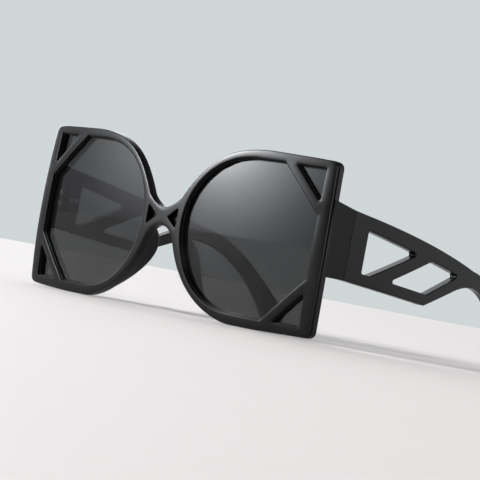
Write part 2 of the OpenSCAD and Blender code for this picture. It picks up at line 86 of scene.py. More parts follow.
# Nose pads: the sink and the inset keep them joined to the rim
PAD_D = 8.2
PAD_FLARE = 1.2
PAD_ROOT = 2.8
PAD_EDGE = 2
PAD_SINK = 0.8
PAD_INSET = 0.06
# Height from which on a pad fills the groove beside it
PAD_FILL = 3
# Stretch of the nose side that carries a pad, as shares of the arch and of the lower curve
PAD_START_SHARE = 0.5
PAD_END_SHARE = 0.72
# How steeply a pad rises at its two ends
PAD_POWER = 1.7

# Temples and end pieces
TEMPLE_LEN = 143.5
TEMPLE_T = 4
TEMPLE_TOP = 51
TEMPLE_FOOT = 24.4
SPLAY = math.radians(4.94)
TEMPLE_R = 330
STRAIGHT_LEN = 10.4
END_LEN = 8.1
END_TOP = 52.8
END_INSET = 0.3
# The end piece's inner side steps in, this many depths of the lens seat before the rear face
STEP_AHEAD = 3
RAIL_TOP = 4.9
RAIL_FOOT = 4.5
WINDOW_Y = 10
STRUT_Y = 14.9
STRUT_A = math.radians(23.3)
STRUT_W = 5.4
SLOT_R = 0.8
KNEE_R = 3
TIP_R = 4
TIP_FOOT_R = 2
WALL_OFF = 1.5

# Seam between an end piece and its temple. Edges are rounded by SEAM_SHARE of their radius
# at the seam, and fully from SEAM_FADE on. The temple's points follow the slant of the seam
# within SEAM_REACH.
SEAM_OUT = 2.3
SEAM_GAP = 0.12
SEAM_REACH = 8
SEAM_FADE = 3
SEAM_SHARE = 0.25

# Crown of the face towards its edges, in millimetres and as a share of the room it has
CROWN_W = 2.4
CROWN_D = 0.09
CROWN_SHARE = 0.45

# Rounding of the edges, in millimetres
FACE_EDGE = 0.35
HOLE_EDGE = 0.4
CUT_EDGE = 0.35
SMALL_EDGE = 0.32
BACK_EDGE = 0.45
TEMPLE_EDGE = 0.5
HINGE_EDGE = 0.06
SHARP_ANGLE = math.radians(35)

# At the sides the plate is drawn in from the rear layer, from INSET_FROM off the nose on
PLATE_INSET = 0.35
INSET_FROM = 68
INSET_FADE = 5

# The temple's outer face keeps this far inside the solid's face, in millimetres
SKIN = 0.005

# Finest spacing along outlines and over faces, in millimetres, and numbers of steps
LINE_STEP = 2
FACE_STEP = 2.5
CURVE_STEPS = 28
CORNER_STEPS = 8
EDGE_STEPS = 6
CROWN_STEPS = 4
PAD_STEPS = 40
PAD_ARC = 10
BEVEL_STEPS = 2

# Division of faces: how far points keep from an outline, as a share of the spacing, how much
# faces are bowed meanwhile, per square millimetre, and what counts as one point
CLEAR_SHARE = 0.6
BOW = 2e-6
SAME_POINT = 1e-7

# Modifiers: merged distance in millimetres, and weight of large faces over small ones
WELD_GAP = 0.002
NORMAL_WEIGHT = 80

HALF_W = FRONT_W / 2
END_OUT_X = HALF_W + SEAM_OUT
END_IN_X = END_OUT_X - TEMPLE_T
AXIS_X = END_IN_X - WALL_OFF
GROOVE_END = PLATE_T + GROOVE_W
PAD_START_D = FRONT_T - 2 * PAD_SINK
LENS_IN_X = BRIDGE_W / 2
LENS_OUT_X = HALF_W - RIM_SIDE
LENS_TOP_Z = FRONT_H - RIM_TOP
AXIS_Z = (TEMPLE_TOP + TEMPLE_FOOT) / 2


def face_y(x, z, depth=0):
    """Depth of a layer of the front behind its foremost point."""
    return FACE_R - math.sqrt((FACE_R - depth) ** 2 - x ** 2 - (z - FACE_Z) ** 2)


END_REAR_Y = face_y(END_IN_X, AXIS_Z) + FRONT_T
SEAM_Y = END_REAR_Y + END_LEN
TIP_IN = (TEMPLE_LEN - STRAIGHT_LEN) ** 2 / (2 * TEMPLE_R) - WALL_OFF
OVERALL_LEN = SEAM_Y + TEMPLE_LEN * math.cos(SPLAY) + TIP_IN * math.sin(SPLAY)

# Outlines of the front, as shares of the sizes that they follow
UPPER_SHARES = [[0.627, 1], [0.377, 1], [0.2425, 0.809], [0.1124, 0.196]]
NOTCH_SHARES = [[0.1124, 0.196], [0.1067, 0.169], [0.0512, 0.02], [0, 0.02]]
ARCH_SHARES = [[0, 1], [0.0549, 1], [0.0824, 0.924], [0.1046, 0.7845]]
LOWER_SHARES = [[0.1046, 0.7845], [0.2175, 0.0736], [0.484, 0], [0.523, 0]]
FLAT_SHARE = 0.66
WIDE_SHARE = 0.45
FOOT_SHARES = [0.718, 0]
LOW_SHARES = [1, 0.304]
HIGH_SHARES = [1, 0.7]
HEAD_SHARES = [0.703, 1]
LENS_TOP_SHARES = [[0.513, 1], [0.19, 1], [0, 0.756], [0, 0.525]]
LENS_FOOT_SHARES = [[0, 0.525], [0, 0.269], [0.165, 0], [0.482, 0]]

# Outline of the temple, as shares of its length and of its height at the seam
RIDGE_SHARES = [[0, 1], [0.2, 0.945], [0.42, 0.862], [0.613, 0.753]]
HOOK_TOP_SHARES = [[0.613, 0.753], [0.739, 0.7255], [0.85, 0.5], [0.978, 0.142]]
KNEE_SHARES = [0.366, 0.408]
BELLY_SHARES = [[0.506, 0.557], [0.599, 0.655], [0.676, 0.627], [0.76, 0.498]]
HOOK_FOOT_SHARES = [[0.76, 0.498], [0.808, 0.416], [0.864, 0.294], [0.908, 0.098]]
TIP_SHARES = [[0.93, 0], [1.025, 0]]


def row(x, y, z):
    """A point in millimetres from the face's foremost point, in the frame's metres."""
    return Vector((x, y - OVERALL_LEN / 2, z)) * MM


def vec(x, z):
    """A point or direction in a plane."""
    return np.array([x, z], float)


def unit(v):
    """The direction of a vector."""
    return v / np.linalg.norm(v)


def left(v):
    """A vector, or many, turned to the left by a right angle."""
    return np.stack([-v[..., 1], v[..., 0]], axis=-1)


def cross(a, b):
    """Cross product of two vectors in a plane."""
    return a[0] * b[1] - a[1] * b[0]


def bezier(points, steps=CURVE_STEPS):
    """Points along the cubic curve with these four control points."""
    a, b, c, d = np.array(points, float)
    t = np.linspace(0, 1, steps + 1)[:, None]
    return (1 - t) ** 3 * a + 3 * (1 - t) ** 2 * t * b + 3 * (1 - t) * t * t * c + t ** 3 * d


def fillet(a, b, c, radius, steps=CORNER_STEPS):
    """The corner b between a and c as an arc."""
    u, v = unit(a - b), unit(c - b)
    half = math.acos(float(u @ v)) / 2
    centre = b + unit(u + v) * radius / math.sin(half)
    start = b + u * radius / math.tan(half) - centre
    end = b + v * radius / math.tan(half) - centre
    turn = math.atan2(cross(start, end), start @ end)
    angles = [turn * k / steps for k in range(steps + 1)]
    return np.array([centre + start * math.cos(w) + left(start) * math.sin(w) for w in angles])


def rounded(corners, radius):
    """A closed loop through these corners, each of them as an arc."""
    after = corners[1:] + corners[:1]
    before = corners[-1:] + corners[:-1]
    return np.concatenate([fillet(a, b, c, radius) for a, b, c in zip(before, corners, after)])


def meet(p, u, q, v):
    """Where the lines p + s * u and q + s * v cross."""
    return p + u * cross(q - p, v) / cross(u, v)


def grown(loop, d):
    """A closed anticlockwise loop moved outwards by d, one value or one for each point."""
    before = loop - np.roll(loop, 1, axis=0)
    after = np.roll(loop, -1, axis=0) - loop
    u = before / np.linalg.norm(before, axis=1)[:, None]
    v = after / np.linalg.norm(after, axis=1)[:, None]
    return loop - np.reshape(d, (-1, 1)) * (left(u) + left(v)) / (1 + (u * v).sum(axis=1))[:, None]


def dense(loop, step=LINE_STEP):
    """The loop with its long sides divided, so that they can bend."""
    points = []
    for a, b in zip(loop, np.roll(loop, -1, axis=0)):
        parts = max(1, math.ceil(np.linalg.norm(b - a) / step))
        points += [a + (b - a) * k / parts for k in range(parts)]
    return np.array(points)


def mirrored(loop):
    """The loop on the other side of the nose, still anticlockwise."""
    return (loop * [-1, 1])[::-1]


def high_at(shares):
    """Points between the bridge notch and the top of the front."""
    return [vec(x * HALF_W, NOTCH_Z + z * (FRONT_H - NOTCH_Z)) for x, z in shares]


def low_at(shares):
    """Points between the bottom of the front and the nose arch."""
    return [vec(x * HALF_W, z * ARCH_Z) for x, z in shares]


def side_x(z):
    """Half width of the front at a height."""
    side_r = (FRONT_H * (1 - WIDE_SHARE)) ** 2 / (2 * SIDE_BOW)
    return HALF_W - (z - WIDE_SHARE * FRONT_H) ** 2 / (2 * side_r)


ARCH_CURVE = bezier(low_at(ARCH_SHARES), CORNER_STEPS)
LOWER_CURVE = bezier(low_at(LOWER_SHARES))


def front_outline():
    """Outline of the whole front."""
    heights = np.linspace(CORNER_R, FRONT_H - CORNER_R, CURVE_STEPS + 1)[1:-1]
    side = np.array([vec(side_x(z), z) for z in heights])
    flat_end = vec(FLAT_SHARE * HALF_W, 0)
    foot = vec(side_x(CORNER_R), BOTTOM_RISE)
    head = vec(side_x(FRONT_H - CORNER_R), FRONT_H - TOP_FALL)
    upper = bezier(high_at(UPPER_SHARES))
    half = np.concatenate([
        ARCH_CURVE,
        LOWER_CURVE[1:],
        [flat_end],
        fillet(flat_end, foot, side[0], CORNER_R),
        side[1:-1],
        fillet(side[-1], head, upper[0], CORNER_R),
        upper,
        bezier(high_at(NOTCH_SHARES), CORNER_STEPS)[1:],
    ])
    return np.concatenate([half, mirrored(half)[1:-1]])


def lens_at(share):
    """A point of a lens opening, from shares of its width and height."""
    x = LENS_IN_X + share[0] * (LENS_OUT_X - LENS_IN_X)
    return vec(x, RIM_BOTTOM + share[1] * (LENS_TOP_Z - RIM_BOTTOM))


LENS_TOP_CURVE = bezier([lens_at(s) for s in LENS_TOP_SHARES])
LENS_FOOT_CURVE = bezier([lens_at(s) for s in LENS_FOOT_SHARES])


def round_opening(corners):
    """The round inner side of a lens opening, closed by these corners on the outer side."""
    points = [LENS_FOOT_CURVE[-1], *corners, LENS_TOP_CURVE[0]]
    arcs = [fillet(a, b, c, CUT_R) for a, b, c in zip(points, points[1:], points[2:])]
    return np.concatenate([*arcs, LENS_TOP_CURVE, LENS_FOOT_CURVE[1:-1]])


def corner_cut(a, b, c):
    """Cut-out beyond the side from a to b of the lens opening, out to the corner c."""
    u = unit(b - a)
    shifted = a - BAR_W * left(u)
    return rounded([meet(shifted, u, c, vec(1, 0)), c, meet(shifted, u, c, vec(0, 1))], CUT_R)


foot, low, high, head = (lens_at(s) for s in (FOOT_SHARES, LOW_SHARES, HIGH_SHARES, HEAD_SHARES))
OPENING = dense(round_opening([foot, low, high, head]))
RIM_OPENING = dense(round_opening([vec(LENS_OUT_X, RIM_BOTTOM), vec(LENS_OUT_X, LENS_TOP_Z)]))
CUT_X = LENS_OUT_X - CUT_INSET
UPPER_CUT = dense(corner_cut(high, head, vec(CUT_X, LENS_TOP_Z - CUT_INSET))[::-1])
LOWER_CUT = dense(corner_cut(foot, low, vec(CUT_X, RIM_BOTTOM + CUT_INSET)))
RECESS = rounded([
    vec(RECESS_GAP / 2, RECESS_Z),
    vec(RECESS_GAP / 2 + RECESS_W, RECESS_Z - RECESS_H / 2),
    vec(RECESS_GAP / 2 + RECESS_W, RECESS_Z + RECESS_H / 2),
], CUT_R)
OUTLINE = dense(front_outline())
OPENINGS = [OPENING, mirrored(OPENING)]
CUTS = [cut for loop in (UPPER_CUT, LOWER_CUT) for cut in (loop, mirrored(loop))]
RECESSES = [RECESS, mirrored(RECESS)]
HOLES = OPENINGS + CUTS + RECESSES


def on_front(p, depth):
    """A point of the front at a depth behind its face."""
    return row(p[0], face_y(p[0], p[1], depth), p[1])


def inside(points, loops):
    """Even-odd test of many points against closed loops."""
    p = np.array(points)
    found = np.zeros(len(p), bool)
    px, pz = p[:, 0, None], p[:, 1, None]
    for loop in loops:
        a, b = loop, np.roll(loop, -1, axis=0)
        spans = (a[:, 1] > pz) != (b[:, 1] > pz)
        rise = np.where(a[:, 1] == b[:, 1], 1, b[:, 1] - a[:, 1])
        cut = (b[:, 0] - a[:, 0]) * (pz - a[:, 1]) / rise + a[:, 0]
        found ^= ((px < cut) & spans).sum(axis=1) % 2 == 1
    return found


def grid(loops, step):
    """Points in even triangles over the inside of the loops, clear of their lines."""
    border = np.concatenate(loops)
    (x0, z0), (x1, z1) = border.min(axis=0), border.max(axis=0)
    rise = step * math.sqrt(3) / 2
    points = [
        (x0 + step * (i + 0.5 * (j % 2)), z0 + rise * j)
        for j in range(int((z1 - z0) / rise) + 1)
        for i in range(int((x1 - x0) / step) + 1)
    ]
    points = np.array(points)
    points = points[inside(points, loops)]
    gaps = np.array([np.min(((border - p) ** 2).sum(axis=1)) for p in points])
    return points[gaps > (CLEAR_SHARE * step) ** 2] if len(points) else points


def bowed(points, centre):
    """The points drawn in a little, so that no straight side keeps three points in line."""
    away = points - centre
    return away * (1 - BOW * (away ** 2).sum(axis=1, keepdims=True))


class Shell:
    """A closed mesh made of rings round outlines, walls between them and caps over them."""

    def __init__(self, place):
        self.bm = bmesh.new()
        self.place = place

    def ring(self, loop, depth):
        """Vertices round a loop, at one depth or at one for each point."""
        depths = np.broadcast_to(depth, len(loop))
        return [self.bm.verts.new(self.place(p, float(d))) for p, d in zip(loop, depths)]

    def join(self, first, second):
        """Faces between two rings of equal length."""
        n = len(first)
        for i in range(n):
            j = (i + 1) % n
            self.bm.faces.new((first[i], second[i], second[j], first[j]))

    def wall(self, loop, profile, hole):
        """Joined rings at each (inset, depth) of the profile. Returns the end loops and rings."""
        sign = 1 if hole else -1
        loops = [grown(loop, sign * inset) for inset, _ in profile]
        rings = [self.ring(points, depth) for points, (_, depth) in zip(loops, profile)]
        for a, b in zip(rings, rings[1:]):
            self.join(a, b)
        return (loops[0], rings[0]), (loops[-1], rings[-1])

    def cap(self, sides, depth, step=FACE_STEP):
        """A face at one depth between these loops, whose rings it shares."""
        loops = [loop for loop, _ in sides]
        known = [v for _, ring in sides for v in ring]
        edges, start = [], 0
        for loop in loops:
            n = len(loop)
            edges += [(start + i, start + (i + 1) % n) for i in range(n)]
            start += n
        extra = grid(loops, step)
        known += [self.bm.verts.new(self.place(p, depth)) for p in extra]
        points = np.concatenate([*loops, extra] if len(extra) else loops)
        centre = points.mean(axis=0)
        flat = [Vector(p) for p in bowed(points, centre)]
        coords, _, faces, origin, *_ = delaunay_2d_cdt(flat, edges, [], 0, SAME_POINT)
        verts = [known[ids[0]] for ids in origin]
        centres = [sum((coords[i] for i in face), Vector((0, 0))) / len(face) for face in faces]
        keep = inside([tuple(c) for c in centres], [bowed(loop, centre) for loop in loops])
        for face, kept in zip(faces, keep):
            if kept:
                self.bm.faces.new([verts[i] for i in face])

    def mesh(self, name):
        """The finished mesh, with all its faces turned outwards."""
        bmesh.ops.recalc_face_normals(self.bm, faces=self.bm.faces)
        mesh = bpy.data.meshes.new(name)
        self.bm.to_mesh(mesh)
        self.bm.free()
        return mesh


def front_edge(radius, depth=0):
    """Profile of a rounded edge that starts at a face."""
    angles = [math.pi / 2 * k / EDGE_STEPS for k in range(EDGE_STEPS + 1)]
    return [(radius * (1 - math.sin(a)), depth + radius * (1 - math.cos(a))) for a in angles]


def back_edge(radius, depth):
    """Profile of a rounded edge that ends at a face."""
    return [(inset, 2 * depth - d) for inset, d in reversed(front_edge(radius, depth))]


def room(loop, others):
    """Distance from each point of a loop to the nearest of the other loops."""
    a = np.concatenate(others)
    b = np.concatenate([np.roll(other, -1, axis=0) for other in others])
    side, to = b - a, loop[:, None] - a
    share = np.clip((to * side).sum(axis=2) / (side ** 2).sum(axis=1), 0, 1)
    return np.linalg.norm(to - share[..., None] * side, axis=2).min(axis=1)


def crowned(loop, others, radius):
    """Profile of a face that falls off gently, then over a rounded edge."""
    reach = np.minimum(CROWN_W, CROWN_SHARE * room(loop, others)) - radius
    fall = CROWN_D * reach / (CROWN_W - radius)
    steps = [k / CROWN_STEPS for k in range(CROWN_STEPS)]
    return [(radius + reach * (1 - s), fall * s ** 2) for s in steps] + front_edge(radius, fall)


def tighter(profile, loop, seam_y):
    """The profile with its insets made small beside the seam."""
    near = np.clip(np.abs(loop[:, 0] - seam_y) / SEAM_FADE, SEAM_SHARE, 1)
    return [(inset * near, depth) for inset, depth in profile]


def finished(mesh, body, nodes, material):
    """A piece of the object from its mesh."""
    mesh.shade_smooth()
    mesh.set_sharp_from_angle(angle=SHARP_ANGLE)
    piece = bpy.data.objects.new(mesh.name, mesh)
    bpy.context.scene.collection.objects.link(piece)
    mesh.materials.clear()
    mesh.materials.append(material)
    weights = piece.modifiers.new("even_normals", "WEIGHTED_NORMAL")
    weights.keep_sharp = True
    weights.weight = NORMAL_WEIGHT
    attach(piece, body)
    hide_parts(*nodes)
    return piece


def flipped(mesh, name):
    """The mesh mirrored to the other side of the nose."""
    other = mesh.copy()
    other.name = name
    other.transform(Matrix.Scale(-1, 4, (1, 0, 0)))
    other.flip_normals()
    return other


def front_plate_mesh():
    """Front layer of the rims, with its crowned face."""
    shell = Shell(on_front)
    at_sides = np.clip((np.abs(OUTLINE[:, 0]) - INSET_FROM) / INSET_FADE, 0, 1)
    outline = grown(OUTLINE, -PLATE_INSET * at_sides)
    profile = crowned(outline, HOLES, FACE_EDGE) + [(0, PLATE_T)]
    sides = [shell.wall(outline, profile, hole=False)]
    for loops, radius in ((OPENINGS, HOLE_EDGE), (CUTS, CUT_EDGE)):
        for loop in loops:
            others = [outline] + [other for other in HOLES if other is not loop]
            profile = crowned(loop, others, radius) + [(0, PLATE_T)]
            sides.append(shell.wall(loop, profile, hole=True))
    recess = front_edge(SMALL_EDGE) + [(0, PLATE_T)]
    sides += [shell.wall(loop, recess, hole=True) for loop in RECESSES]
    shell.cap([s[0] for s in sides], 0)
    shell.cap([s[1] for s in sides], PLATE_T)
    return shell.mesh("plate_shell")


def rim_mesh():
    """Rear frame without its pads and end pieces."""
    shell = Shell(on_front)
    face = PLATE_T + GLUE_GAP
    lens_front, lens_back = LENS_D - LENS_FIT, LENS_D + LENS_T + LENS_FIT
    land = front_edge(SMALL_EDGE, GROOVE_END)
    outer = [(GROOVE_D, face), (GROOVE_D, GROOVE_END)] + land + back_edge(BACK_EDGE, FRONT_T)
    hole = front_edge(SMALL_EDGE, face) + [(0, lens_front)]
    out_front, out_back = shell.wall(OUTLINE, outer, hole=False)
    fronts, backs = [out_front], [out_back]
    for side in (lambda loop: loop, mirrored):
        ledges = [side(grown(loop, -LEDGE)) for loop in (OPENING, UPPER_CUT, LOWER_CUT)]
        steps = [shell.wall(ledge, hole, hole=True) for ledge in ledges]
        fronts += [s[0] for s in steps]
        seat = shell.wall(side(RIM_OPENING), [(SEAT_D, lens_front), (SEAT_D, lens_back)], hole=True)
        shell.cap([seat[0]] + [s[1] for s in steps], lens_front)
        rear = [(-LEDGE, lens_back)] + [(i - LEDGE, d) for i, d in back_edge(SMALL_EDGE, FRONT_T)]
        rear_front, rear_back = shell.wall(side(RIM_OPENING), rear, hole=True)
        shell.cap([seat[1], rear_front], lens_back)
        backs.append(rear_back)
        pocket_front, pocket_back = shell.wall(side(RECESS), [(0, face), (0, RECESS_D)], hole=True)
        shell.cap([pocket_back], RECESS_D)
        fronts.append(pocket_front)
    shell.cap(fronts, face)
    shell.cap(backs, FRONT_T)
    return shell.mesh("rim_shell")


def pad_line():
    """The stretch of the rim's nose side that carries the pad, evenly divided."""
    arch = ARCH_CURVE[int(PAD_START_SHARE * CORNER_STEPS):-1]
    lower = LOWER_CURVE[:int(PAD_END_SHARE * CURVE_STEPS) + 1]
    points = np.concatenate([arch, lower])
    lengths = np.concatenate([[0], np.cumsum(np.linalg.norm(np.diff(points, axis=0), axis=1))])
    at = np.linspace(0, lengths[-1], PAD_STEPS + 1)
    return np.stack([np.interp(at, lengths, points[:, k]) for k in (0, 1)], axis=1)


def pad_section(share):
    """Section of the pad at a share of its stretch: (across, up) from where it starts."""
    height = (PAD_D + PAD_SINK) * math.sin(math.pi * math.sqrt(share)) ** PAD_POWER + PAD_SINK
    middle = PAD_INSET + PAD_FLARE * height / (PAD_D + 2 * PAD_SINK) + PAD_EDGE / 2
    bend = min(PAD_EDGE, height) / 2
    fill = min(1, height / PAD_FILL)
    root = PLATE_T + GLUE_GAP + (1 - fill) * GROOVE_W - PAD_START_D
    section = [(PAD_INSET, root)]
    for k in range(PAD_ARC + 1):
        w = math.pi * k / PAD_ARC
        across = middle - math.cos(w) * PAD_EDGE / 2
        section.append((across, height - bend + bend * math.sin(w)))
    return section + [(PAD_INSET + PAD_ROOT, root)]


def pad_mesh():
    """Moulded nose pad, deepest beside the nose."""
    line = pad_line()
    shell = Shell(lambda p, y: row(p[0], y, p[1]))
    rings = []
    for i, p in enumerate(line):
        into = left(unit(line[min(i + 1, PAD_STEPS)] - line[max(i - 1, 0)]))
        start = face_y(p[0], p[1]) + PAD_START_D
        section = pad_section(i / PAD_STEPS)
        loop = [p + into * across for across, _ in section]
        rings.append(shell.ring(loop, [start + up for _, up in section]))
    for a, b in zip(rings, rings[1:]):
        shell.join(a, b)
    shell.bm.faces.new(rings[0])
    shell.bm.faces.new(rings[-1][::-1])
    return shell.mesh("pad")


def end_outer_x(y):
    """Outer side of the end piece, from the rim out to the temple."""
    start_x = HALF_W - END_INSET
    start_y = face_y(start_x, AXIS_Z) + GROOVE_END
    return start_x + (END_OUT_X - start_x) * (y - start_y) / (SEAM_Y - start_y)


def end_inner_x(y):
    """Inner side of the end piece, which reaches further into the rim at its front."""
    root_x = LENS_OUT_X + SEAT_D + LEDGE
    step = min(1, max(0, (y - END_REAR_Y) / SEAT_D + STEP_AHEAD))
    return root_x + (END_IN_X - root_x) * step


def end_mesh():
    """End piece from the outer rim back to the seam."""
    def place(p, depth):
        y, z = p
        share = depth / TEMPLE_T
        return row(end_outer_x(y) * (1 - share) + end_inner_x(y) * share, y, z)

    slope = (END_TOP - TEMPLE_TOP) / END_LEN
    start_x = HALF_W - END_INSET
    front_zs = np.linspace(TEMPLE_TOP, TEMPLE_FOOT, CORNER_STEPS)
    front = [vec(face_y(start_x, z) + GROOVE_END + SMALL_EDGE / 2, z) for z in front_zs]
    front[0][1] = TEMPLE_TOP + (SEAM_Y - front[0][0]) * slope
    corners = [vec(SEAM_Y, TEMPLE_FOOT), vec(SEAM_Y, TEMPLE_TOP), *front]
    shell = Shell(place)
    outline = dense(np.array(corners), FACE_STEP / 2)
    edge = tighter(front_edge(SMALL_EDGE) + back_edge(SMALL_EDGE, TEMPLE_T), outline, SEAM_Y)
    near, far = shell.wall(outline, edge, hole=False)
    shell.cap([near], 0, FACE_STEP / 2)
    shell.cap([far], TEMPLE_T, FACE_STEP / 2)
    return shell.mesh("end")


def joined(base, parts):
    """The union of the base mesh and the parts."""
    scene = bpy.context.scene
    name = base.name
    body = bpy.data.objects.new("union_base", base)
    scene.collection.objects.link(body)
    for part in parts:
        other = bpy.data.objects.new("union_part", part)
        scene.collection.objects.link(other)
        union = body.modifiers.new("union", "BOOLEAN")
        union.operation = "UNION"
        union.solver = "EXACT"
        union.object = other
        bpy.context.view_layer.update()
        depsgraph = bpy.context.evaluated_depsgraph_get()
        result = bpy.data.meshes.new_from_object(body.evaluated_get(depsgraph))
        body.modifiers.remove(union)
        before, body.data = body.data, result
        bpy.data.objects.remove(other)
        for used in (before, part):
            bpy.data.meshes.remove(used)
    bpy.data.objects.remove(body)
    result.name = name
    return result


def lens_mesh():
    """A lens, in the groove of the rear frame."""
    shell = Shell(on_front)
    loop = grown(RIM_OPENING, SEAT_D - LENS_FIT)
    front, back = shell.wall(loop, [(0, LENS_D), (0, LENS_D + LENS_T)], hole=False)
    shell.cap([front], LENS_D)
    shell.cap([back], LENS_D + LENS_T)
    return shell.mesh("lens_shell_left")


def temple_at(share):
    """A point of the temple's side, from shares of its length and height."""
    return vec(share[0] * TEMPLE_LEN, share[1] * TEMPLE_TOP)


def temple_loops():
    """Outline, first and second cut-out of the temple, in its own length and height."""
    knee = temple_at(KNEE_SHARES)
    ridge = unit(temple_at(RIDGE_SHARES[3]) - temple_at(RIDGE_SHARES[0]))
    foot_end = vec(0, TEMPLE_FOOT)
    under = unit(knee - foot_end)
    strut = vec(math.cos(STRUT_A), math.sin(STRUT_A))
    under_ridge = vec(0, TEMPLE_TOP) - left(ridge) * RAIL_TOP
    over_foot = foot_end + left(under) * RAIL_FOOT
    up = vec(0, 1)
    strut_foot = meet(over_foot, under, vec(STRUT_Y, 0), up)
    window = rounded([
        meet(over_foot, under, vec(WINDOW_Y, 0), up),
        strut_foot,
        meet(strut_foot, strut, under_ridge, ridge),
        meet(under_ridge, ridge, vec(WINDOW_Y, 0), up),
    ], SLOT_R)
    slot_start = strut_foot - left(strut) * STRUT_W
    slot_end = knee + left(under) * RAIL_FOOT
    slot = rounded([
        meet(slot_start, strut, over_foot, under),
        slot_end,
        meet(slot_end, strut, under_ridge, ridge),
        meet(slot_start, strut, under_ridge, ridge),
    ], SLOT_R)
    ridge_curve = bezier([temple_at(s) for s in RIDGE_SHARES])
    hook_top = bezier([temple_at(s) for s in HOOK_TOP_SHARES])
    belly = bezier([temple_at(s) for s in BELLY_SHARES])
    hook_foot = bezier([temple_at(s) for s in HOOK_FOOT_SHARES], CORNER_STEPS)
    tip_in, tip_out = (temple_at(s) for s in TIP_SHARES)
    outline = np.concatenate([
        [foot_end],
        fillet(foot_end, knee, belly[0], KNEE_R),
        belly,
        hook_foot[1:],
        fillet(hook_foot[-1], tip_in, tip_out, TIP_FOOT_R),
        fillet(tip_in, tip_out, hook_top[-1], TIP_R),
        hook_top[:0:-1],
        ridge_curve[::-1],
    ])
    return dense(outline), dense(window), dense(slot)


def on_temple(p, depth):
    """A point of the temple's length and height, at a depth under its outer face."""
    y, z = p
    x = WALL_OFF + TEMPLE_T - max(y - STRAIGHT_LEN, 0) ** 2 / (2 * TEMPLE_R) - depth
    start = (SEAM_GAP + x * math.sin(SPLAY)) / math.cos(SPLAY)
    y += start * max(0, 1 - y / SEAM_REACH)
    turned_x = x * math.cos(SPLAY) + y * math.sin(SPLAY)
    turned_y = y * math.cos(SPLAY) - x * math.sin(SPLAY)
    return row(AXIS_X + turned_x, SEAM_Y + turned_y, z)


def temple_mesh():
    """A temple with its two cut-outs."""
    outline, window, slot = temple_loops()
    shell = Shell(on_temple)
    edge = front_edge(TEMPLE_EDGE, SKIN) + back_edge(TEMPLE_EDGE, TEMPLE_T)
    sides = [shell.wall(outline, tighter(edge, outline, 0), hole=False)]
    sides += [shell.wall(loop, edge, hole=True) for loop in (window, slot)]
    shell.cap([s[0] for s in sides], SKIN)
    shell.cap([s[1] for s in sides], TEMPLE_T)
    return shell.mesh("temple_shell_left")


# Materials: sizes of their marks in millimetres
GRAIN_SIZE = 0.35
SMUDGE_SIZE = 18
TURNING_SIZE = 0.15
HAZE_SIZE = 25
MOTTLE_SIZE = 60
GRAIN_HEIGHT = 0.01
GRAIN_STRENGTH = 0.25
# Values between which a noise mostly lies
NOISE_LOW = 0.3
NOISE_HIGH = 0.7
# Shares of a colour and of a roughness between which the marks vary
SMUDGE_SHADES = (0.85, 1.15)
SMUDGE_GLOSS = (0.92, 1.08)
TURNING_SHADES = (0.88, 1)
TURNING_GLOSS = (0.8, 1.25)
MOTTLE_SHADES = (0.985, 1)

BLACK = (0.0045, 0.0045, 0.0047)
LENS_DARK = (0.0045, 0.0045, 0.005)
LENS_PALE = (0.0065, 0.0065, 0.007)
LENS_ROUGH = (0.03, 0.05)
LENS_GLOSS = 0.25
LENS_ALPHA = 0.775
HINGE_COLOUR = (0.1, 0.098, 0.095)
SCREW_COLOUR = (0.66, 0.66, 0.67)
FLOOR_COLOUR = (0.755, 0.715, 0.69)
FLOOR_ROUGH = 0.75
FLOOR_GLOSS = 0.2


def principled(name):
    """A new material, its nodes and links, and its shader's inputs."""
    material = bpy.data.materials.new(name)
    material.use_nodes = True
    nodes = material.node_tree.nodes
    return material, nodes, material.node_tree.links, nodes["Principled BSDF"].inputs


def noise(nodes, links, size, detail=2.0):
    """Noise with features of about this size in millimetres."""
    coords = nodes.new("ShaderNodeTexCoord")
    texture = nodes.new("ShaderNodeTexNoise")
    texture.inputs["Scale"].default_value = 1 / (size * MM)
    texture.inputs["Detail"].default_value = detail
    links.new(coords.outputs["Object"], texture.inputs["Vector"])
    return texture.outputs["Fac"]


def spread(nodes, links, source, low, high):
    """The middle of a noise spread over low to high."""
    change = nodes.new("ShaderNodeMapRange")
    change.inputs["From Min"].default_value = NOISE_LOW
    change.inputs["From Max"].default_value = NOISE_HIGH
    change.inputs["To Min"].default_value = low
    change.inputs["To Max"].default_value = high
    links.new(source, change.inputs["Value"])
    return change.outputs["Result"]


def shaded(nodes, links, source, colours, places=(NOISE_LOW, NOISE_HIGH)):
    """Two colours laid over a noise."""
    ramp = nodes.new("ShaderNodeValToRGB")
    for stop, place, colour in zip(ramp.color_ramp.elements, places, colours):
        stop.position = place
        stop.color = (*colour, 1)
    links.new(source, ramp.inputs["Fac"])
    return ramp.outputs["Color"]


def shades(colour, shares):
    """The colour times each of the shares."""
    return [[c * share for c in colour] for share in shares]


def plastic(name, rough, gloss):
    """Satin moulded plastic: fine grain, faint handling marks and an uneven gloss."""
    material, nodes, links, inputs = principled(name)
    grain = noise(nodes, links, GRAIN_SIZE)
    smudge = noise(nodes, links, SMUDGE_SIZE, detail=4.0)
    colour = shaded(nodes, links, smudge, shades(BLACK, SMUDGE_SHADES))
    links.new(colour, inputs["Base Color"])
    low, high = (rough * share for share in SMUDGE_GLOSS)
    links.new(spread(nodes, links, smudge, low, high), inputs["Roughness"])
    relief = nodes.new("ShaderNodeBump")
    relief.inputs["Strength"].default_value = GRAIN_STRENGTH
    relief.inputs["Distance"].default_value = GRAIN_HEIGHT * MM
    links.new(grain, relief.inputs["Height"])
    links.new(relief.outputs["Normal"], inputs["Normal"])
    inputs["Specular IOR Level"].default_value = gloss
    return material


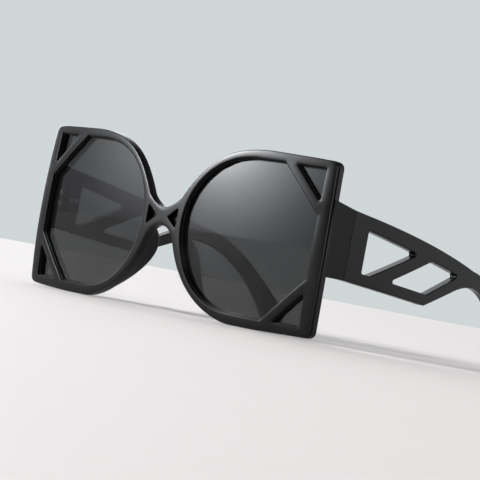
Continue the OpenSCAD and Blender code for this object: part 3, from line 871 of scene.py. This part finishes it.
def steel(name, colour, rough):
    """Nickel silver or steel with fine turning marks."""
    material, nodes, links, inputs = principled(name)
    marks = noise(nodes, links, TURNING_SIZE, detail=3.0)
    inputs["Metallic"].default_value = 1
    links.new(shaded(nodes, links, marks, shades(colour, TURNING_SHADES)), inputs["Base Color"])
    low, high = (rough * share for share in TURNING_GLOSS)
    links.new(spread(nodes, links, marks, low, high), inputs["Roughness"])
    return material


def tinted_lens(name):
    """Grey smoke plastic, polished, with a faint haze of wiping marks."""
    material, nodes, links, inputs = principled(name)
    haze = noise(nodes, links, HAZE_SIZE, detail=3.0)
    links.new(shaded(nodes, links, haze, (LENS_DARK, LENS_PALE)), inputs["Base Color"])
    links.new(spread(nodes, links, haze, *LENS_ROUGH), inputs["Roughness"])
    inputs["Specular IOR Level"].default_value = LENS_GLOSS
    inputs["Alpha"].default_value = LENS_ALPHA
    return material


def board(name):
    """Pale matte board with a faint mottle."""
    material, nodes, links, inputs = principled(name)
    mottle = noise(nodes, links, MOTTLE_SIZE)
    colours = shades(FLOOR_COLOUR, MOTTLE_SHADES)
    links.new(shaded(nodes, links, mottle, colours, places=(0, 1)), inputs["Base Color"])
    inputs["Roughness"].default_value = FLOOR_ROUGH
    inputs["Specular IOR Level"].default_value = FLOOR_GLOSS
    return material


plate_black = plastic("front_plastic", rough=0.2, gloss=0.17)
frame_black = plastic("frame_plastic", rough=0.22, gloss=0.15)
temple_black = plastic("temple_plastic", rough=0.26, gloss=0.14)
smoke = tinted_lens("lens_tint")
slot_steels = {
    "hinge_steel": steel("hinge_steel", HINGE_COLOUR, rough=0.38),
    "screw_steel": steel("screw_steel", SCREW_COLOUR, rough=0.24),
}

# The front
finished(front_plate_mesh(), "front", ["front_plate"], plate_black)
rim = rim_mesh()
pad, end = pad_mesh(), end_mesh()
rim = joined(rim, [pad, flipped(pad, "pad_right"), end, flipped(end, "end_right")])
finished(rim, "front", ["rear_frame"], frame_black)

lens = lens_mesh()
finished(flipped(lens, "lens_shell_right"), "front", ["lens_right"], smoke)
finished(lens, "front", ["lens_left"], smoke)

# The temples
temple = temple_mesh()
other_temple = flipped(temple, "temple_shell_right")
finished(other_temple, "temple_arm_right", ["temple_right"], temple_black)
finished(temple, "temple_arm_left", ["temple_left"], temple_black)

# Hinges and screws stay as they are in the frame, with broken edges
for part in frame["record"]["subparts"]:
    material = slot_steels.get(part["material_slot"])
    if material is None:
        continue
    node = frame["nodes"][part["node"]]
    for slot in node.material_slots:
        slot.material = material
    weld = node.modifiers.new("weld", "WELD")
    weld.merge_threshold = WELD_GAP * MM
    bevel = node.modifiers.new("broken_edges", "BEVEL")
    bevel.width = HINGE_EDGE * MM
    bevel.segments = BEVEL_STEPS
    bevel.limit_method = "ANGLE"
    bevel.angle_limit = SHARP_ANGLE

# Camera, from the photograph's perspective
CAMERA_AT = row(515.1, -557.5, 17.9)
CAMERA_TURN = math.radians(40.33)
CAMERA_TILT = math.radians(91.13)
CAMERA_ROLL = math.radians(10.66)
CAMERA_LENS = 145.53
CAMERA_RANGE = (0.05, 50)

camera_data = bpy.data.cameras.new("camera")
camera_data.lens = CAMERA_LENS
camera_data.clip_start, camera_data.clip_end = CAMERA_RANGE
camera = bpy.data.objects.new("camera", camera_data)
turn = Matrix.Rotation(CAMERA_TURN, 4, "Z") @ Matrix.Rotation(CAMERA_TILT, 4, "X")
turn = turn @ Matrix.Rotation(CAMERA_ROLL, 4, "Z")
camera.matrix_world = Matrix.Translation(CAMERA_AT) @ turn
bpy.context.scene.collection.objects.link(camera)
bpy.context.scene.camera = camera

# Floor, in metres
FLOOR_SIZE = 12

half = FLOOR_SIZE / 2
corners = [(-half, -half, 0), (half, -half, 0), (half, half, 0), (-half, half, 0)]
floor_mesh = bpy.data.meshes.new("floor")
floor_mesh.from_pydata(corners, [], [(0, 1, 2, 3)])
floor_mesh.materials.append(board("floor_board"))
floor = bpy.data.objects.new("floor", floor_mesh)
bpy.context.scene.collection.objects.link(floor)

# World: a pale backdrop for the camera, and a dim studio with soft glows for all else
BACKDROP = (0.63, 0.675, 0.68, 1)
SKY = (0.95, 0.97, 1.0, 1)
SKY_LEVEL = 0.05
# Azimuth from -Y towards -X, elevation and half width in degrees, and strength
GLOWS = [
    (33, 13, 10, 21),
    (37, 15.5, 5.5, 90),
    (49, 12.5, 10, 6.6),
    (108, 7, 24, 12),
    (232, 5, 32, 1.8),
    (-35, 25, 7, 16),
]

world = bpy.data.worlds.new("studio")
world.use_nodes = True
bpy.context.scene.world = world
nodes, links = world.node_tree.nodes, world.node_tree.links
nodes.clear()


def math_node(operation, first, second):
    """The world's next value, from two numbers or outputs."""
    node = nodes.new("ShaderNodeMath")
    node.operation = operation
    for socket, value in zip(node.inputs, (first, second)):
        if isinstance(value, (int, float)):
            socket.default_value = value
        else:
            links.new(value, socket)
    return node.outputs["Value"]


direction = nodes.new("ShaderNodeTexCoord").outputs["Generated"]
level = SKY_LEVEL
for azimuth, elevation, width, strength in GLOWS:
    a, e = math.radians(azimuth), math.radians(elevation)
    towards = (-math.sin(a) * math.cos(e), -math.cos(a) * math.cos(e), math.sin(e))
    facing = nodes.new("ShaderNodeVectorMath")
    facing.operation = "DOT_PRODUCT"
    links.new(direction, facing.inputs[0])
    facing.inputs[1].default_value = towards
    sharpness = 2 / math.radians(width) ** 2
    falloff = math_node("MULTIPLY", math_node("SUBTRACT", facing.outputs["Value"], 1), sharpness)
    glow = math_node("MULTIPLY", math_node("EXPONENT", falloff, 0), strength)
    level = math_node("ADD", glow, level)

out = nodes.new("ShaderNodeOutputWorld")
mix = nodes.new("ShaderNodeMixShader")
path = nodes.new("ShaderNodeLightPath")
seen = nodes.new("ShaderNodeBackground")
seen.inputs["Color"].default_value = BACKDROP
light = nodes.new("ShaderNodeBackground")
light.inputs["Color"].default_value = SKY
links.new(level, light.inputs["Strength"])
links.new(path.outputs["Is Camera Ray"], mix.inputs["Fac"])
links.new(light.outputs["Background"], mix.inputs[1])
links.new(seen.outputs["Background"], mix.inputs[2])
links.new(mix.outputs["Shader"], out.inputs["Surface"])

# A weak lamp above, in metres and watts
LAMP_AT = Vector((-0.25, -0.45, 1.15))
LAMP_TARGET = Vector((0, -0.03, 0.035))
LAMP_SIZE = (1.2, 1.2)
LAMP_POWER = 0.5

lamp_data = bpy.data.lights.new("top", "AREA")
lamp_data.shape = "RECTANGLE"
lamp_data.size, lamp_data.size_y = LAMP_SIZE
lamp_data.energy = LAMP_POWER
lamp = bpy.data.objects.new("top", lamp_data)
lamp.location = LAMP_AT
lamp.rotation_euler = (LAMP_TARGET - LAMP_AT).to_track_quat("-Z", "Y").to_euler()
bpy.context.scene.collection.objects.link(lamp)

bpy.context.scene.view_settings.view_transform = "Standard"
